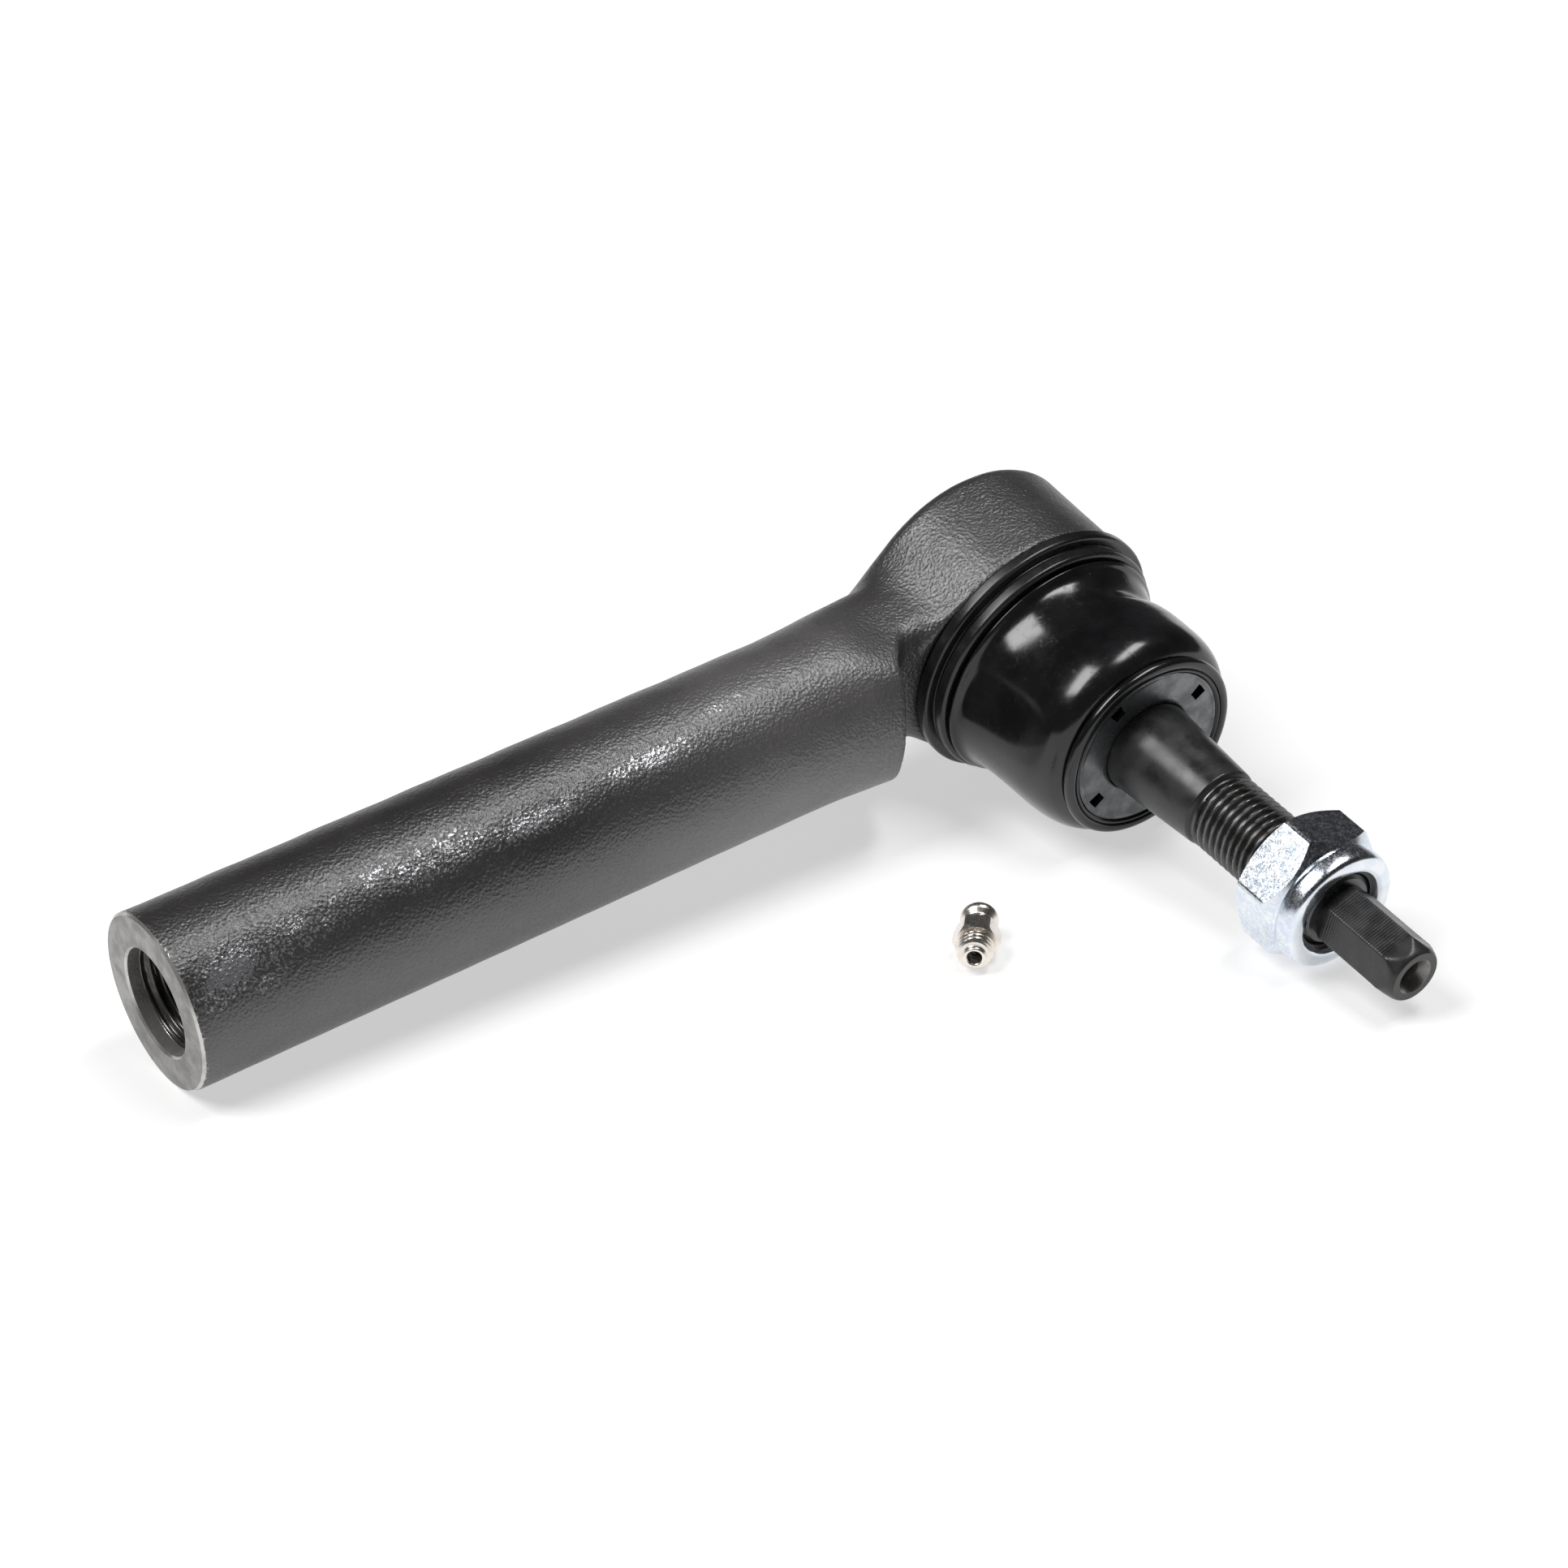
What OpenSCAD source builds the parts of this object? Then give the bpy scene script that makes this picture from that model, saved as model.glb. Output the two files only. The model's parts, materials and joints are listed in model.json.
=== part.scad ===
// Outer tie rod end for a light truck, lying on a bench with its grease fitting beside it.
// Row frame: origin on the rod socket's axis, where its thread starts; +Z is up from the bench.
// The forging rests on three points: the barrel's mouth rim, the boot ring and the lock nut.

/* [Barrel] */
// Outside diameter of the barrel
barrel_d = 30; // [28:0.5:34]
// Distance from the barrel's mouth to the ball centre
mouth_to_ball = 168.5; // [140:0.5:220]
// Wall diameter of the rod socket, for an M18 x 1.5 thread
socket_d = 16.4; // [14:0.1:18]
// Depth of the rod socket's thread
socket_depth = 60; // [40:1:80]
// Diameter of the plain counterbore at the mouth
counterbore_d = 18.2; // [17:0.1:20]
// Depth of the plain counterbore
counterbore_depth = 2.5; // [2:0.1:8]
// Radius of the round relief that clears the boot, about the ball's axis
relief_r = 34.5; // [30:0.5:38]

/* [Eye] */
// Outside diameter of the eye
eye_d = 46.4; // [44:0.2:52]
// Distance from the ball centre to the eye's front face
eye_front = 5; // [4:0.5:7]
// Distance from the ball centre to the eye's back face
eye_back = 16.5; // [15.5:0.5:20]
// Diameter of the boss that carries the boot ring
boss_d = 41; // [40:0.5:42]
// Distance from the ball centre to the boss's end
boss_end = 11; // [10:0.5:12]

/* [Ball stud] */
// Ball diameter
ball_d = 27; // [25:0.5:28]
// Thread diameter of the stud, for M14 x 1.5
thread_d = 13.96; // [13.9:0.01:14]
// Thread pitch of the stud and the lock nut
thread_pitch = 1.5; // [1:0.25:2]
// Taper on diameter, as a length for each unit of diameter
taper_ratio = 8; // [6:1:12]
// Distance from the ball centre to the taper's small end
taper_end = 57.5; // [54:0.5:60]
// Taper's diameter at its small end
taper_small_d = 14.5; // [14.2:0.1:15]
// Distance from the ball centre to the thread's end
thread_end = 87; // [86:0.5:90]
// Distance from the ball centre to the stud's tip
stud_end = 105.5; // [102:0.5:110]
// Size across the flats of the hex drive
drive_af = 10; // [8:0.5:10.5]
// Turn of the hex drive about the stud
drive_turn = 19; // [0:1:60]
// Stud's lean towards the barrel's top side, as it lies
stud_nod = -4.7; // [-10:0.1:10]
// Stud's swing towards the mouth, as it lies
stud_swing = -1.2; // [-10:0.1:10]

/* [Lock nut] */
// Size across the flats of the lock nut
nut_af = 22; // [21:0.5:24]
// Distance from the ball centre to the nut's near face
nut_near = 74.6; // [62:0.1:80]
// Height of the nut's hex part
nut_hex_h = 9.2; // [8:0.1:11]
// Height of the whole nut
nut_h = 13.4; // [12.5:0.1:15]
// Turn of the nut about the stud, as it lies
nut_turn = 45; // [0:1:60]

/* [Boot] */
// Outside diameter of the boot ring's flange
ring_d = 48.4; // [46:0.2:52]
// Distance from the ball centre to the sealing lip's end
lip_end = 38.9; // [38:0.1:42]
// Rubber thickness of the boot
boot_wall = 2.2; // [1.5:0.1:3]
// Side of each square window in the seal plate
window = 2; // [1:0.1:2.4]

/* [Grease fitting] */
// Size across the flats of the fitting's hex
fitting_af = 7; // [6:0.5:8]
// Place of the fitting's threaded end, measured from the rod socket along X
fitting_x = 117.4; // [100:0.1:130]
// Place of the fitting's threaded end, measured from the rod socket along Y
fitting_y = -52; // [-60:0.1:-44]
// Heading of the fitting on the bench
fitting_heading = 47.6; // [0:0.1:90]

/* [Hidden] */
$fn = 96;
eps = 0.02;
// Attitude on the bench: the barrel's rise and the eye's roll
barrel_rise = 3.49;
eye_roll = 13.93;
bench_z = -15.108;
thread_start = mouth_to_ball - counterbore_depth;
barrel_r = barrel_d / 2;
ball_r = ball_d / 2;
seat_clear = 0.05;
main_bore_r = 16.2;
lip_inner_z = 7;
cover_r = 18;
cover_inner = 12.5;
cover_t = 3;
taper_small_r = taper_small_d / 2;
taper_large_z = 38;
taper_large_r = taper_small_r + (taper_end - taper_large_z) / taper_ratio / 2;
stud_neck_r = 7.6;
thread_r = thread_d / 2;
nut_bore_r = thread_r + 0.07;
insert_r = 8.5;
insert_near = nut_near + 9;
insert_h = 3;
port_r = 2.5;

// From the housing's own frame (ball centre, barrel along +X, stud along -Y) to the row frame
module on_bench()
    rotate([0, -barrel_rise, 0]) rotate([eye_roll, 0, 0])
        translate([thread_start, 0, 0]) children();

// Child +Z runs from the barrel's mouth towards the ball
module along_barrel()
    on_bench() translate([-mouth_to_ball, 0, 0]) rotate([0, 90, 0]) children();

// Child +Z runs from the ball centre out of the eye's front
module along_eye() on_bench() rotate([90, 0, 0]) children();

// Child +Z runs from the ball centre to the stud's tip, with the stud leaning as it lies
module along_stud()
    on_bench() rotate([stud_nod, 0, stud_swing]) rotate([90, 0, 0]) children();

// Child +Z runs along the grease fitting from its threaded end to its head
module along_fitting()
    translate([fitting_x, fitting_y, bench_z + fitting_af / 2])
        rotate([0, 0, fitting_heading]) rotate([0, 90, 0]) children();

// Hexagonal prism by its size across the flats
module hex_bar(af, h) cylinder(d = af / cos(30), h = h, $fn = 6);

// ---- Forged housing ----
// Neck section seen along the barrel: a round back, flat sides and a flat front with round corners
module neck_section() {
    corner = 5;
    side = 13;
    intersection() {
        circle(r = 16.2);
        union() {
            translate([-side, -30]) square([2 * side, 30 + eye_front - corner]);
            translate([corner - side, -30]) square([2 * (side - corner), 30 + eye_front]);
            for (s = [-1, 1]) translate([s * (side - corner), eye_front - corner]) circle(r = corner);
        }
    }
}

// Eye's outside: a drum with a rounded back edge, and the boss for the boot ring
module eye_outside() {
    edge = 3;
    rotate_extrude() {
        translate([0, -eye_back + edge]) square([eye_d / 2, eye_back - edge + eye_front]);
        translate([0, -eye_back]) square([eye_d / 2 - edge, edge + eps]);
        translate([eye_d / 2 - edge, -eye_back + edge]) circle(r = edge);
        square([boss_d / 2, boss_end]);
    }
}

// Space for the ball, its bearings and the cover plate, open to both faces
module socket_space() {
    rotate_extrude() polygon([
        [0, -eye_back - 1], [16.8, -eye_back - 1], [16.8, -cover_inner - cover_t],
        [cover_r, -cover_inner - cover_t], [cover_r, -cover_inner], [main_bore_r, -cover_inner],
        [main_bore_r, lip_inner_z], [12.4, lip_inner_z], [14, boss_end + 1], [0, boss_end + 1]]);
}

module housing() color([0.17, 0.165, 0.165]) {
    neck_start = mouth_to_ball - 36;
    neck_len = 24;
    chamfer = 0.6;
    difference() {
        union() {
            difference() {
                along_barrel() {
                    cylinder(r1 = barrel_r - chamfer, r2 = barrel_r, h = chamfer);
                    translate([0, 0, chamfer]) cylinder(r = barrel_r, h = neck_start + 2 - chamfer);
                }
                along_eye() translate([0, 0, eye_front]) cylinder(r = relief_r, h = 30);
            }
            // Neck, turned so that its flat front faces the boot's side
            along_barrel() translate([0, 0, neck_start])
                linear_extrude(neck_len) rotate([0, 0, 180]) neck_section();
            along_eye() eye_outside();
        }
        along_barrel() {
            translate([0, 0, -1]) cylinder(d = counterbore_d, h = 1 + counterbore_depth);
            translate([0, 0, counterbore_depth - eps]) cylinder(d = socket_d, h = socket_depth + eps);
            translate([0, 0, counterbore_depth + socket_depth - eps])
                cylinder(d1 = socket_d, d2 = 0, h = socket_d / 2 / tan(59));
        }
        along_eye() socket_space();
    }
}

// ---- Ball joint's inside ----
module cover_plate() color([0.3, 0.3, 0.31]) along_eye() difference() {
    translate([0, 0, -cover_inner - cover_t + eps]) {
        cylinder(r = cover_r - eps, h = cover_t - 2 * eps);
        translate([0, 0, -1.5]) cylinder(r = 6, h = 2);
    }
    translate([0, 0, -cover_inner - 10]) cylinder(r = port_r, h = 12);
}

// Coned spring washer between the cover plate and the pressure cup
module preload_spring() color("slategray") along_eye() rotate_extrude() polygon([
    [8.6, -12.44], [14.2, -10.8], [14.2, -9.6], [8.6, -11.24]]);

module pressure_cup() color([0.85, 0.83, 0.75]) along_eye() difference() {
    translate([0, 0, -9.5]) cylinder(r = main_bore_r - 0.05, h = 7);
    sphere(r = ball_r + seat_clear);
    translate([0, 0, -10]) cylinder(r = 3, h = 8);
}

module bearing_seat() color([0.85, 0.83, 0.75]) along_eye() difference() {
    translate([0, 0, -2]) cylinder(r = main_bore_r - 0.03, h = 2 + lip_inner_z - eps);
    sphere(r = ball_r + seat_clear);
}

// ---- Ball stud ----
module ball_stud() color([0.14, 0.14, 0.145]) along_stud() {
    flat_back = 9.3;
    shank_r = 5.9;
    drive_start = thread_end + 0.6;
    tip_r = 4.7;
    cone_h = 3.4;
    difference() {
        union() {
            intersection() {
                sphere(r = ball_r);
                translate([0, 0, -flat_back]) cylinder(r = ball_r, h = 40);
            }
            cylinder(r = stud_neck_r, h = 24);
            translate([0, 0, 22]) cylinder(r1 = stud_neck_r, r2 = taper_large_r, h = 8);
            translate([0, 0, 30 - eps]) cylinder(r = taper_large_r, h = taper_large_z - 30 + eps);
            translate([0, 0, taper_large_z - eps])
                cylinder(r1 = taper_large_r, r2 = taper_small_r, h = taper_end - taper_large_z + eps);
            translate([0, 0, taper_end - eps]) cylinder(r1 = 7.1, r2 = 6.4, h = 0.8);
            translate([0, 0, taper_end]) cylinder(r = 6.4, h = 2);
            translate([0, 0, taper_end + 1]) cylinder(r = thread_r, h = thread_end - 1 - taper_end - 1);
            translate([0, 0, thread_end - 1]) cylinder(r1 = thread_r, r2 = shank_r, h = 1);
            intersection() {
                translate([0, 0, thread_end - eps]) rotate([0, 0, drive_turn])
                    hex_bar(drive_af, stud_end - thread_end + eps);
                translate([0, 0, thread_end - eps]) {
                    cylinder(r = shank_r, h = stud_end - cone_h - thread_end);
                    translate([0, 0, stud_end - cone_h - thread_end])
                        cylinder(r1 = shank_r, r2 = tip_r, h = cone_h + eps);
                }
            }
            translate([0, 0, thread_end - eps]) cylinder(r = drive_af / 2, h = drive_start - thread_end);
        }
        translate([0, 0, stud_end - 6]) cylinder(r = 2.3, h = 7);
        translate([0, 0, stud_end - 7.3]) cylinder(r1 = 0, r2 = 2.3, h = 1.3 + eps);
    }
}

// ---- Boot and its metal parts ----
module boot_ring() color([0.05, 0.05, 0.055]) along_eye() rotate_extrude() polygon([
    [boss_d / 2 + eps, 5.3], [ring_d / 2 - 0.2, 5.3], [ring_d / 2, 5.5], [ring_d / 2, 7.5],
    [ring_d / 2 - 0.2, 7.7], [22.8, 7.7], [22.8, 10.2], [22.4, 10.7], [boss_d / 2 + eps, 10.7]]);

// Boot: rings of points carried from the eye's axis to the stud's axis, so that its base lies
// square on the eye and its lip square on the leaning stud
function smooth(t) = t * t * (3 - 2 * t);
boot_outside = [[21.7, 11.4], [21.2, 13.2], [20.2, 16], [19.8, 19], [19.9, 22.5], [20.1, 26.5],
                [20, 30], [19.5, 33.5], [18.5, 36], [17, 37.4], [16.5, 37.9], [16.5, 38.8]];
boot_inside = [for (p = boot_outside) [max(p[0] - boot_wall, 14.9), p[1]]];
boot_profile = concat(boot_outside, [for (i = [len(boot_inside) - 1 : -1 : 0]) boot_inside[i]]);
boot_sides = 48;
function turned_x(v, a) = [v[0], v[1] * cos(a) - v[2] * sin(a), v[1] * sin(a) + v[2] * cos(a)];
function turned_z(v, a) = [v[0] * cos(a) - v[1] * sin(a), v[0] * sin(a) + v[1] * cos(a), v[2]];
function boot_point(p, a) =
    let (share = smooth((p[1] - boot_outside[0][1]) / (lip_end - boot_outside[0][1])))
    turned_z(turned_x([p[0] * cos(a), -p[1], p[0] * sin(a)], stud_nod * share), stud_swing * share);

module boot() color([0.02, 0.02, 0.022]) {
    n = len(boot_profile);
    points = [for (p = boot_profile, k = [0 : boot_sides - 1]) boot_point(p, k * 360 / boot_sides)];
    faces = [for (i = [0 : n - 1], k = [0 : boot_sides - 1])
        let (j = (i + 1) % n, m = (k + 1) % boot_sides)
        [i * boot_sides + k, i * boot_sides + m, j * boot_sides + m, j * boot_sides + k]];
    on_bench() polyhedron(points, faces);
}

module seal_plate() color([0.25, 0.26, 0.27]) along_stud() difference() {
    translate([0, 0, 37.4]) cylinder(r = 14.6, h = 1);
    translate([0, 0, 37]) cylinder(r = taper_large_r + 0.35, h = 2);
    for (k = [0 : 3]) rotate([0, 0, 36 + 90 * k]) translate([12.4, 0, 37.9])
        cube([window, window, 2], center = true);
}

// ---- Lock nut ----
module lock_nut() color([0.78, 0.81, 0.85]) along_stud() translate([0, 0, nut_near]) difference() {
    corner_r = nut_af / 2 / cos(30);
    chamfer_h = 1.2;
    collar_r = 11;
    round_r = 1.8;
    union() {
        intersection() {
            rotate([0, 0, nut_turn]) hex_bar(nut_af, nut_hex_h);
            rotate_extrude() polygon([
                [0, 0], [10.7, 0], [corner_r + eps, chamfer_h], [corner_r + eps, nut_hex_h - chamfer_h],
                [10.7, nut_hex_h], [0, nut_hex_h]]);
        }
        translate([0, 0, nut_hex_h - 1]) rotate_extrude() {
            square([collar_r, nut_h - nut_hex_h + 1 - round_r]);
            square([collar_r - round_r, nut_h - nut_hex_h + 1]);
            translate([collar_r - round_r, nut_h - nut_hex_h + 1 - round_r]) circle(r = round_r);
        }
    }
    translate([0, 0, -1]) cylinder(r = nut_bore_r, h = nut_h + 2);
    translate([0, 0, -eps]) cylinder(r1 = nut_bore_r + 0.7, r2 = nut_bore_r, h = 0.7);
    translate([0, 0, insert_near - nut_near - 0.1]) cylinder(r = insert_r + 0.08, h = insert_h + 0.2);
    translate([0, 0, insert_near - nut_near]) cylinder(r = 7.7, h = 6);
}

module nylon_insert() color([0.12, 0.12, 0.13]) along_stud() translate([0, 0, insert_near])
    difference() {
        cylinder(r = insert_r, h = insert_h);
        translate([0, 0, -1]) cylinder(r = nut_bore_r, h = insert_h + 2);
    }

// ---- Grease fitting ----
module grease_fitting() color([0.75, 0.74, 0.7]) along_fitting() difference() {
    hex_start = 3.3;
    hex_h = 3.6;
    head_end = 13;
    union() {
        rotate_extrude() polygon([
            [0, -0.8], [1.6, -0.8], [1.9, -0.5], [1.9, 0], [2.6, 0], [3, 0.4], [3, hex_start],
            [2.6, hex_start], [2.6, 5.8], [3.1, 5.8], [3.1, 7.4], [2.4, 8.8], [2.4, 9.2],
            [3.25, 10.2], [3.25, 11.2], [2, head_end], [0, head_end]]);
        translate([0, 0, hex_start]) intersection() {
            rotate([0, 0, 30]) hex_bar(fitting_af, hex_h);
            rotate_extrude() polygon([
                [0, 0], [3.4, 0], [4.1, 0.5], [4.1, hex_h - 0.5], [3.4, hex_h], [0, hex_h]]);
        }
    }
    translate([0, 0, -1]) cylinder(r = 1.2, h = 3);
    translate([0, 0, 1.9]) cylinder(r = 1.45, h = head_end - 2.9);
    translate([0, 0, head_end - 1.1]) cylinder(r = 1, h = 2);
}

module check_ball() color("silver") along_fitting() translate([0, 0, 10.8]) sphere(r = 1.25, $fn = 48);

// Closed-wound coil spring behind the check ball
module check_spring() color("silver") along_fitting() {
    coil_r = 0.95;
    wire_r = 0.2;
    turns = 6;
    rise = 7;
    steps = 16;
    sides = 8;
    last = turns * steps;
    points = [for (i = [0 : last], k = [0 : sides - 1])
        let (a = 360 * i / steps, b = 360 * k / sides, r = coil_r + wire_r * cos(b))
        [r * cos(a), r * sin(a), 2.2 + rise * i / last + wire_r * sin(b)]];
    walls = [for (i = [0 : last - 1], k = [0 : sides - 1])
        let (m = (k + 1) % sides)
        [i * sides + k, (i + 1) * sides + k, (i + 1) * sides + m, i * sides + m]];
    start_cap = [for (k = [0 : sides - 1]) k];
    end_cap = [for (k = [sides - 1 : -1 : 0]) last * sides + k];
    polyhedron(points, concat(walls, [start_cap, end_cap]));
}

housing();
cover_plate();
preload_spring();
pressure_cup();
bearing_seat();
ball_stud();
boot_ring();
boot();
seal_plate();
lock_nut();
nylon_insert();
grease_fitting();
check_ball();
check_spring();
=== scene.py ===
import json
import math

import bpy
import numpy as np
from mathutils import Matrix, Vector


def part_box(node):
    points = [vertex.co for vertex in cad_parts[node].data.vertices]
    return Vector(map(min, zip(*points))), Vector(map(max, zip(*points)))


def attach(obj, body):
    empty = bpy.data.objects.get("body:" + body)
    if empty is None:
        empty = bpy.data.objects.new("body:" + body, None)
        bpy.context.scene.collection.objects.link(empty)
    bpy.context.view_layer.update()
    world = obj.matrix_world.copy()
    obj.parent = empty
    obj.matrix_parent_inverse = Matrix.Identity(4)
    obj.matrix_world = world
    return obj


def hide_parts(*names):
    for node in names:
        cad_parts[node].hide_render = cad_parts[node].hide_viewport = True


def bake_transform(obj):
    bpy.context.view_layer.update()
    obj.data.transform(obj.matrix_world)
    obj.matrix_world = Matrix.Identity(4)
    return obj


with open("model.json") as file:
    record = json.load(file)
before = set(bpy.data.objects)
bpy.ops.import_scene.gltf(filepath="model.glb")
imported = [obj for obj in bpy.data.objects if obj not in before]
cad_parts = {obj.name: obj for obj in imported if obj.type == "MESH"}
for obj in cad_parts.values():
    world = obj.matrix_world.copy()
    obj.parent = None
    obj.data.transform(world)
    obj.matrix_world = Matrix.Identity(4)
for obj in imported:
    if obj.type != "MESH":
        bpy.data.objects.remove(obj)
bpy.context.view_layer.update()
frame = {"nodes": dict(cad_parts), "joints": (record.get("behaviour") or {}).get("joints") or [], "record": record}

# An outer tie rod end lying on a bench, with its grease fitting beside it.
# Shapes are worked out in millimetres in the part's own axes and put into the row frame at the end.
MM = 0.001
TAU = 2 * math.pi
BENCH_Z = -15.108


# ---------------------------------------------------------------- axes taken from the frame
def array(values):
    return np.array(list(values), float)


record = frame["record"]
joint = {j["name"]: j for j in frame["joints"]}
mount = {m["name"]: m for m in record["mounts"]}
ball_centre = array(joint["stud_swing"]["pos_m"]) / MM

barrel_way = -array(mount["rod_socket"]["axis"])
back_way = array(mount["grease_port"]["axis"])
side_way = array(joint["stud_swing"]["axis"])
# Housing axes: x from the mouth to the ball, y out of the eye's back, z across
HOUSING = np.stack([barrel_way, back_way, side_way])

stud_way = array(joint["stud_spin"]["axis"])
nod_way = array(joint["stud_nod"]["axis"])
# Stud axes: z out to the stud's tip, x the axis that the stud nods about
STUD = np.stack([nod_way, np.cross(stud_way, nod_way), stud_way])

fitting_way = -array(joint["check_press"]["axis"])
# Fitting axes: z from the threaded end to the head, x down to the bench
FITTING = np.stack([np.array([0, 0, -1.0]), np.cross(fitting_way, [0, 0, -1.0]), fitting_way])
# Height of the check ball above the fitting's threaded end
CHECK_BALL_AT = 10.8
ball_low, ball_high = (array(c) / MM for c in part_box("check_ball"))
fitting_start = (ball_low + ball_high) / 2 - CHECK_BALL_AT * fitting_way


def on_housing(p):
    """Housing axes to the row frame: the ball centre plus each coordinate times its axis."""
    return ball_centre + p @ HOUSING


def on_eye(p):
    """Points turned about the eye's axis, z out of its front, which is housing -y."""
    return on_housing(np.stack([p[..., 0], -p[..., 2], p[..., 1]], -1))


def on_barrel(p):
    """Points turned about the barrel's axis, z from the ball centre back to the mouth."""
    return on_housing(np.stack([-p[..., 2], p[..., 1], p[..., 0]], -1))


def on_stud(p):
    return ball_centre + p @ STUD


def on_fitting(p):
    return fitting_start + p @ FITTING


# ---------------------------------------------------------------- surfaces
def smooth(t):
    """0 below 0, 1 above 1, and 3t^2 - 2t^3 between."""
    t = np.clip(t, 0, 1)
    return t * t * (3 - 2 * t)


def soft_min(a, b, k):
    """The smaller of a and b, rounded where they are within k: min - (k - |a - b|)^2 / 4k."""
    return np.minimum(a, b) - np.maximum(k - np.abs(a - b), 0) ** 2 / (4 * k)


def soft_max(a, b, k):
    return -soft_min(-a, -b, k)


def quads(rows, cols, wrap_rows=False, wrap_cols=True):
    """Faces of a grid of points, row by row, joined end to end where it wraps."""
    i = np.arange(rows if wrap_rows else rows - 1)[:, None]
    j = np.arange(cols if wrap_cols else cols - 1)[None, :]
    up, over = (i + 1) % rows, (j + 1) % cols
    corners = [i * cols + j, i * cols + over, up * cols + over, up * cols + j]
    return np.stack([np.broadcast_to(c, (i.size, j.size)) for c in corners], -1).reshape(-1, 4)


def curve_through(points, steps):
    """A Catmull-Rom curve: each span is the cubic whose ends slope along their neighbours."""
    p = np.array(points, float)
    p = np.concatenate([2 * p[:1] - p[1:2], p, 2 * p[-1:] - p[-2:-1]])
    t = (np.arange(steps) / steps)[None, :, None]
    a, b, c, d = (p[k : len(p) - 3 + k, None, :] for k in range(4))
    span = (2 * b + (c - a) * t + (2 * a - 5 * b + 4 * c - d) * t**2
            + (3 * b - a - 3 * c + d) * t**3) / 2
    return np.concatenate([span.reshape(-1, p.shape[1]), p[-2:-1]])


def rounded(points, radii, steps=5):
    """A polyline with an arc at each corner: the corner's two tangent points joined by a
    quadratic curve that the corner pulls."""
    p = np.array(points, float)
    out = [p[:1]]
    t = np.linspace(0, 1, steps + 1)[:, None]
    for before, here, after, r in zip(p[:-2], p[1:-1], p[2:], radii):
        if r <= 0:
            out.append(here[None])
            continue
        a, b = before - here, after - here
        la, lb = np.linalg.norm(a), np.linalg.norm(b)
        reach = min(r, 0.48 * la, 0.48 * lb)
        s, e = here + a / la * reach, here + b / lb * reach
        out.append(s * (1 - t) ** 2 + 2 * here * t * (1 - t) + e * t**2)
    return np.concatenate(out + [p[-1:]])


def round_angles(sides):
    """Even steps round an axis; sides is how many, or the angles themselves."""
    return np.arange(sides) * TAU / sides if np.isscalar(sides) else sides


def turned(profile, sides=128):
    """A profile of (radius, height) carried round the z axis: (r cos a, r sin a, z)."""
    a = round_angles(sides)
    r, z = profile[:, 0, None], profile[:, 1, None]
    return np.stack([r * np.cos(a), r * np.sin(a), z + 0 * a], -1)


# Points closer than a step of this many to the millimetre are one point
MERGE_STEPS = 2e4


def merged_mesh(name, points, faces):
    """Makes a mesh whose closed shell faces outwards, with points that coincide merged."""
    keys = np.round(points * MERGE_STEPS).astype(np.int64)
    _, first, back = np.unique(keys, axis=0, return_index=True, return_inverse=True)
    back = back.reshape(-1)
    points, faces = points[first], back[faces]
    same = (faces == np.roll(faces, -1, axis=1)).sum(1)
    four, three = faces[same == 0], faces[same == 1]
    # A quad with one side of no length becomes a triangle
    drop = np.argmax(three == np.roll(three, -1, axis=1), axis=1)
    keep = (drop[:, None] + np.array([1, 2, 3])) % 4
    three = np.take_along_axis(three, keep, axis=1) if len(three) else three[:, :3]
    a, b, c = (points[np.concatenate([four[:, k], four[:, m], three[:, n]])]
               for k, m, n in ((0, 0, 0), (1, 2, 1), (2, 3, 2)))
    volume = ((a - points[0]) * np.cross(b - points[0], c - points[0])).sum()
    if volume < 0:
        four, three = four[:, ::-1], three[:, ::-1]
    mesh = bpy.data.meshes.new(name)
    mesh.from_pydata((points * MM).tolist(), [], four.tolist() + three.tolist())
    mesh.update()
    return mesh


def finished(mesh, angle=32):
    """Smooth shading, broken at edges that turn by more than the angle."""
    mesh.polygons.foreach_set("use_smooth", np.ones(len(mesh.polygons), bool))
    mesh.set_sharp_from_angle(angle=math.radians(angle))
    mesh.update()
    return mesh


def piece(name, mesh, finish, body, nodes):
    """Puts a mesh into the scene on its body, in place of its CAD nodes."""
    made = bpy.data.objects.new(name, mesh)
    bpy.context.scene.collection.objects.link(made)
    for m in finish if isinstance(finish, list) else [finish]:
        mesh.materials.append(m)
    if body:
        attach(made, body)
    if nodes:
        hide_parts(*nodes)
    return made


def solid_grid(name, grid, place, wrap_rows=False):
    """Mesh of a grid of rings round an axis; its first and last rows close on the axis or on
    each other."""
    rows, cols = grid.shape[:2]
    return merged_mesh(name, place(grid).reshape(-1, 3), quads(rows, cols, wrap_rows))


def in_axes(items, field, axes):
    """Points or face middles of a mesh, in millimetres from the ball centre along the axes."""
    values = np.zeros(len(items) * 3)
    items.foreach_get(field, values)
    return (values.reshape(-1, 3) / MM - ball_centre) @ axes.T


def point_value(name, mesh, value):
    """Stores a number for each point, for a material to read."""
    kept = mesh.attributes.new(name, "FLOAT", "POINT")
    kept.data.foreach_set("value", value.astype(np.float32))


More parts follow.
